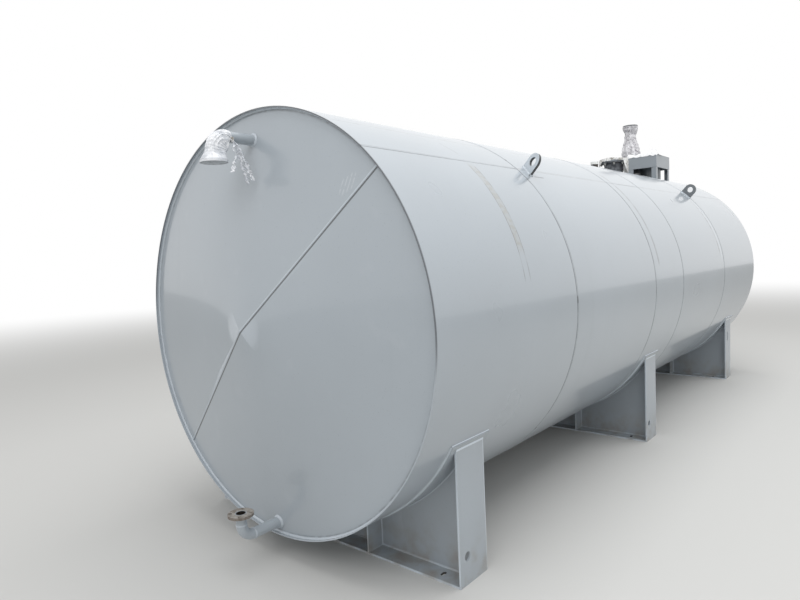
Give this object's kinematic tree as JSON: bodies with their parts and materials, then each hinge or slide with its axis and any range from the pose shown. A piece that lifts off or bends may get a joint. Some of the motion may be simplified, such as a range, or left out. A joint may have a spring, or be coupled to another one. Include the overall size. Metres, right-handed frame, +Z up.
{
  "type": "horizontal storage tank on saddles",
  "caption": "Horizontal welded steel storage tank with conical heads on saddles, with end nozzles, lifting lugs, a filling neck and a vent.",
  "frame": {"origin": "on the ground, below the middle of the whole part's box", "axes": "+X along the tank axis from the nozzle end to the far end, +Y across to the hidden side, +Z up"},
  "size_m": [7.361, 2.4039, 3.299],
  "materials": {
    "grey_enamel": "semi-gloss light grey enamel",
    "bare_steel": "unpainted, with light brown rust",
    "cap_plastic": "white moulded plastic",
    "packing_film": "crumpled translucent packing film"
  },
  "bodies": {
    "root": {"shell_course_1": "grey_enamel", "shell_course_2": "grey_enamel", "shell_course_3": "grey_enamel", "shell_course_4": "grey_enamel", "shell_course_5": "grey_enamel", "near_head_upper": "grey_enamel", "near_head_lower": "grey_enamel", "far_head_upper": "grey_enamel", "far_head_lower": "grey_enamel", "saddle_1_base": "grey_enamel", "saddle_1_web": "grey_enamel", "saddle_1_sides": "grey_enamel", "saddle_1_ribs": "grey_enamel", "saddle_1_pad": "grey_enamel", "saddle_2_base": "grey_enamel", "saddle_2_web": "grey_enamel", "saddle_2_sides": "grey_enamel", "saddle_2_ribs": "grey_enamel", "saddle_2_pad": "grey_enamel", "saddle_3_base": "grey_enamel", "saddle_3_web": "grey_enamel", "saddle_3_sides": "grey_enamel", "saddle_3_ribs": "grey_enamel", "saddle_3_pad": "grey_enamel", "lug_1_front": "grey_enamel", "lug_1_back": "grey_enamel", "lug_2_front": "grey_enamel", "lug_2_back": "grey_enamel", "upper_nozzle_pipe": "grey_enamel", "upper_nozzle_flange": "grey_enamel", "lower_nozzle_pipe": "grey_enamel", "lower_nozzle_flange": "bare_steel", "fill_neck": "bare_steel", "fill_flange": "bare_steel", "fill_cover": "grey_enamel", "gauge_socket": "bare_steel", "gauge_cap": "cap_plastic", "frame_cover": "grey_enamel", "frame_legs": "grey_enamel", "frame_neck": "grey_enamel", "vent_pipe": "grey_enamel", "vent_flange": "grey_enamel", "upper_nozzle_wrap": "packing_film", "fill_wrap": "packing_film", "vent_wrap": "packing_film"}
  },
  "joints": []
}
